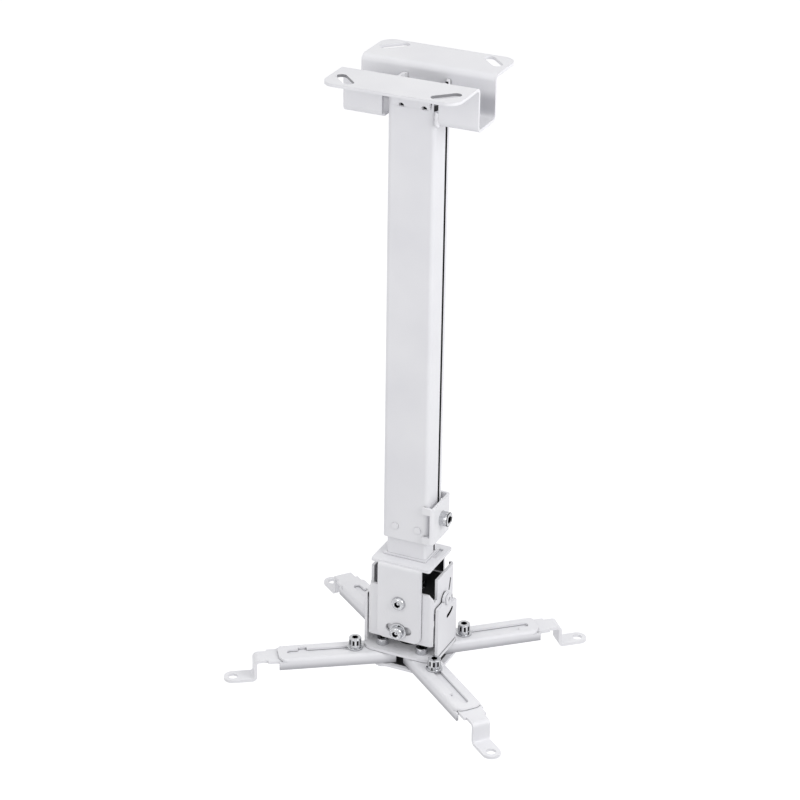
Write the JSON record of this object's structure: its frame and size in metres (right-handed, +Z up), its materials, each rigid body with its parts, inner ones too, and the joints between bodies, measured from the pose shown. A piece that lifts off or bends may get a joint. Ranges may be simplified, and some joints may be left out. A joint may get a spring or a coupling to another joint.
{
  "type": "projector ceiling mount",
  "caption": "White ceiling mount for a projector: slotted hat bracket, telescoping rectangular column, two-way tilt head and swivelling slotted arms with sliding cranked feet.",
  "frame": {"origin": "on the column's axis in the plane of the ceiling, the top of the two flanges", "axes": "+Z up; +X along the ceiling bracket's length, to the side that carries the clamp screw; -Y to the front"},
  "size_m": [0.2075, 0.1723, 0.43],
  "materials": {
    "white_paint": "satin",
    "plated_steel": "polished"
  },
  "bodies": {
    "ceiling": {"ceiling_bracket": "white_paint", "outer_tube": "white_paint", "tube_clamp": "white_paint", "clamp_nut": "plated_steel", "clamp_screw": "plated_steel"},
    "column": {"inner_tube": "white_paint", "tube_foot_plate": "white_paint", "upper_tilt_bracket": "white_paint"},
    "tilt": {"tilt_box": "white_paint", "roll_pivot_screws": "plated_steel", "roll_pivot_nuts": "plated_steel", "roll_lock_screws": "plated_steel", "roll_lock_washers": "plated_steel", "roll_lock_nuts": "plated_steel", "pitch_pivot_rivets": "white_paint"},
    "hub": {"hub_bracket": "white_paint", "hub_base_plate": "white_paint", "arm_pivot_screws": "plated_steel", "arm_pivot_nuts": "plated_steel"},
    "front_left_swivel": {"front_left_arm": "white_paint"},
    "front_left_foot": {"front_left_slider": "white_paint", "front_left_foot_tab": "white_paint", "front_left_lock_screw": "plated_steel", "front_left_lock_nut": "plated_steel", "front_left_lock_washers": "plated_steel"},
    "front_right_swivel": {"front_right_arm": "white_paint"},
    "front_right_foot": {"front_right_slider": "white_paint", "front_right_foot_tab": "white_paint", "front_right_lock_screw": "plated_steel", "front_right_lock_nut": "plated_steel", "front_right_lock_washers": "plated_steel"},
    "rear_right_swivel": {"rear_right_arm": "white_paint"},
    "rear_right_foot": {"rear_right_slider": "white_paint", "rear_right_foot_tab": "white_paint", "rear_right_lock_screw": "plated_steel", "rear_right_lock_nut": "plated_steel", "rear_right_lock_washers": "plated_steel"},
    "rear_left_swivel": {"rear_left_arm": "white_paint"},
    "rear_left_foot": {"rear_left_slider": "white_paint", "rear_left_foot_tab": "white_paint", "rear_left_lock_screw": "plated_steel", "rear_left_lock_nut": "plated_steel", "rear_left_lock_washers": "plated_steel"}
  },
  "joints": [
    {"name": "column_slide", "type": "slide", "parent": "ceiling", "child": "column", "axis": [0, 0, -1], "range_m": [0, 0.21]},
    {"name": "roll", "type": "hinge", "parent": "column", "child": "tilt", "pos_m": [0, 0, -0.3714], "axis": [0, 1, 0], "range_deg": [-15, 15]},
    {"name": "pitch", "type": "hinge", "parent": "tilt", "child": "hub", "pos_m": [0, 0, -0.3714], "axis": [1, 0, 0], "range_deg": [-15, 15]},
    {"name": "front_left_swivel", "type": "hinge", "parent": "hub", "child": "front_left_swivel", "pos_m": [-0.0147, -0.0132, -0.412], "axis": [0, 0, 1], "range_deg": [-25, 25]},
    {"name": "front_left_extend", "type": "slide", "parent": "front_left_swivel", "child": "front_left_foot", "axis": [-0.8329, -0.5534, 0], "range_m": [0, 0.044]},
    {"name": "front_right_swivel", "type": "hinge", "parent": "hub", "child": "front_right_swivel", "pos_m": [0.0147, -0.0132, -0.412], "axis": [0, 0, 1], "range_deg": [-25, 25]},
    {"name": "front_right_extend", "type": "slide", "parent": "front_right_swivel", "child": "front_right_foot", "axis": [0.7738, -0.6334, 0], "range_m": [0, 0.044]},
    {"name": "rear_right_swivel", "type": "hinge", "parent": "hub", "child": "rear_right_swivel", "pos_m": [0.0147, 0.0132, -0.412], "axis": [0, 0, 1], "range_deg": [-25, 25]},
    {"name": "rear_right_extend", "type": "slide", "parent": "rear_right_swivel", "child": "rear_right_foot", "axis": [0.7513, 0.66, 0], "range_m": [0, 0.044]},
    {"name": "rear_left_swivel", "type": "hinge", "parent": "hub", "child": "rear_left_swivel", "pos_m": [-0.0147, 0.0132, -0.412], "axis": [0, 0, 1], "range_deg": [-25, 25]},
    {"name": "rear_left_extend", "type": "slide", "parent": "rear_left_swivel", "child": "rear_left_foot", "axis": [-0.7923, 0.6101, 0], "range_m": [0, 0.044]}
  ]
}
